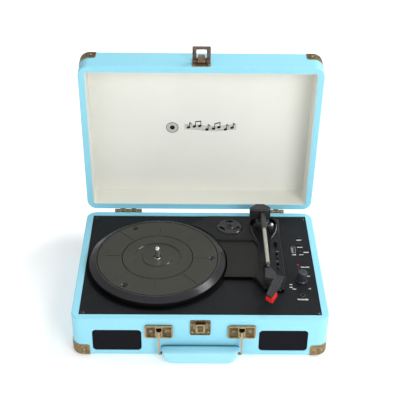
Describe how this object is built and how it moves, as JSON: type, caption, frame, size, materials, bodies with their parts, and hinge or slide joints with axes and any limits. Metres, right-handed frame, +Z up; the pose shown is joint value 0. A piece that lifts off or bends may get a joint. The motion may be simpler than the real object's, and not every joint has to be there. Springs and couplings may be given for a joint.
{
  "type": "suitcase record player",
  "caption": "Suitcase record player with a hinged padded lid, belt-driven platter, tonearm, control panel, front speaker grilles, latch and carry handle.",
  "frame": {"origin": "centre of the case footprint on the plane its feet stand on", "axes": "+X right, +Y back towards the hinges, +Z up along the spindle"},
  "size_m": [0.3532, 0.3187, 0.3497],
  "materials": {
    "covering": "satin",
    "grip_cover": "satin",
    "board": "matt",
    "rubber": "matt",
    "antique_brass": "worn",
    "polished_brass": "satin",
    "black_plate": "satin",
    "deck_plastic": "satin",
    "platter_plastic": "satin",
    "steel": "bright",
    "chrome": "bright",
    "motor_steel": "satin",
    "pulley_brass": "machined",
    "speaker_steel": "matt",
    "cone_paper": "matt",
    "grille_fabric": "woven",
    "circuit_board": "satin",
    "control_black": "satin",
    "lens_red": "clear",
    "liner_paper": "matt",
    "arm_black": "satin",
    "tube_metal": "satin",
    "stylus_red": "bright",
    "bush_brass": "machined"
  },
  "bodies": {
    "case": {"base_case": "covering", "bottom_panel": "board", "feet": "rubber", "base_corners": "antique_brass", "base_nails": "antique_brass", "top_plate": "black_plate", "plate_screws": "control_black", "deck_moulding": "deck_plastic", "arm_rest": "deck_plastic", "spindle": "chrome", "motor": "motor_steel", "drive_belt": "rubber", "speakers": "speaker_steel", "speaker_cones": "cone_paper", "speaker_baffles": "board", "grille_cloths": "grille_fabric", "main_pcb": "circuit_board", "volume_pot": "motor_steel", "usb_port": "steel", "headphone_jack": "control_black", "power_led": "lens_red", "rear_panel": "black_plate", "rca_jacks": "chrome", "dc_inlet": "control_black", "hinge_base_leaves": "antique_brass", "hinge_pins": "antique_brass", "handle_plates": "antique_brass", "catch_plate": "antique_brass", "case_screws": "antique_brass"},
    "lid": {"lid_shell": "covering", "lid_liner": "liner_paper", "lid_corners": "antique_brass", "lid_nails": "antique_brass", "hinge_lid_leaves": "antique_brass", "lid_screws": "antique_brass", "latch_plate": "antique_brass"},
    "latch_lever": {"latch_lever": "antique_brass"},
    "latch_bail": {"latch_bail": "antique_brass"},
    "handle": {"handle_grip": "grip_cover", "handle_links": "polished_brass"},
    "platter": {"platter": "platter_plastic", "platter_bush": "bush_brass"},
    "motor_pulley": {"motor_pulley": "pulley_brass"},
    "tonearm_base": {"tonearm_turret": "arm_black", "pivot_housing": "arm_black"},
    "tonearm": {"arm_neck": "arm_black", "arm_tube": "tube_metal", "arm_collar": "chrome", "headshell": "arm_black", "cartridge": "arm_black", "stylus": "stylus_red"},
    "cue_lever": {"cue_lever": "control_black"},
    "cue_platform": {"cue_platform": "chrome"},
    "autostop_switch": {"autostop_switch": "control_black"},
    "speed_switch": {"speed_switch": "control_black"},
    "volume_knob": {"volume_knob": "control_black"},
    "button_a": {"button_a": "control_black"},
    "button_b": {"button_b": "control_black"},
    "button_c": {"button_c": "control_black"},
    "adapter": {"adapter_45": "control_black"}
  },
  "joints": [
    {"name": "lid_hinge", "type": "hinge", "parent": "case", "child": "lid", "pos_m": [0, 0.13, 0.0675], "axis": [-1, 0, 0], "range_deg": [-86, 0]},
    {"name": "latch_lever_pivot", "type": "hinge", "parent": "lid", "child": "latch_lever", "pos_m": [0, 0.12227, 0.3286], "axis": [1, 0, 0], "range_deg": [0, 60]},
    {"name": "latch_bail_pivot", "type": "hinge", "parent": "latch_lever", "child": "latch_bail", "pos_m": [0, 0.1266, 0.3297], "axis": [-1, 0, 0], "range_deg": [-65, 45]},
    {"name": "handle_swing", "type": "hinge", "parent": "case", "child": "handle", "pos_m": [0, -0.1289, 0.05], "axis": [-1, 0, 0], "range_deg": [0, 90]},
    {"name": "platter_spin", "type": "hinge", "parent": "case", "child": "platter", "pos_m": [-0.0614, -0.0055, 0.072], "axis": [0, 0, -1], "continuous": true},
    {"name": "pulley_spin", "type": "hinge", "parent": "case", "child": "motor_pulley", "pos_m": [-0.11231, 0.04541, 0.07], "axis": [0, 0, -1], "continuous": true},
    {"name": "tonearm_swing", "type": "hinge", "parent": "case", "child": "tonearm_base", "pos_m": [0.096, 0.088, 0.075], "axis": [0, 0, -1], "range_deg": [0, 42]},
    {"name": "tonearm_lift", "type": "hinge", "parent": "tonearm_base", "child": "tonearm", "pos_m": [0.0956, 0.092, 0.091], "axis": [-1, 0, 0], "range_deg": [0, 10]},
    {"name": "cue_lever_pivot", "type": "hinge", "parent": "case", "child": "cue_lever", "pos_m": [0.1122, 0.035, 0.0704], "axis": [-1, 0, 0], "range_deg": [0, 35]},
    {"name": "cue_platform_slide", "type": "slide", "parent": "case", "child": "cue_platform", "axis": [0, 0, 1], "range_m": [0, 0.0028]},
    {"name": "autostop_slide", "type": "slide", "parent": "case", "child": "autostop_switch", "axis": [0, 1, 0], "range_m": [0, 0.008]},
    {"name": "speed_slide", "type": "slide", "parent": "case", "child": "speed_switch", "axis": [0, 1, 0], "range_m": [0, 0.008]},
    {"name": "volume_turn", "type": "hinge", "parent": "case", "child": "volume_knob", "pos_m": [0.1446, -0.042, 0.07], "axis": [0, 0, -1], "range_deg": [0, 300]},
    {"name": "button_a_press", "type": "slide", "parent": "case", "child": "button_a", "axis": [0, 0, -1], "range_m": [0, 0.0008], "stiffness_N_per_m": 400},
    {"name": "button_b_press", "type": "slide", "parent": "case", "child": "button_b", "axis": [0, 0, -1], "range_m": [0, 0.0008], "stiffness_N_per_m": 400},
    {"name": "button_c_press", "type": "slide", "parent": "case", "child": "button_c", "axis": [0, 0, -1], "range_m": [0, 0.0008], "stiffness_N_per_m": 400},
    {"name": "adapter_lift", "type": "slide", "parent": "case", "child": "adapter", "axis": [0, 0, 1], "range_m": [0, 0.02]}
  ],
  "couplings": [
    {"joint": "pulley_spin", "follows": "platter_spin", "ratio": 11.6},
    {"joint": "cue_lever_pivot", "follows": "cue_platform_slide", "rad_per_m": 218.1}
  ]
}
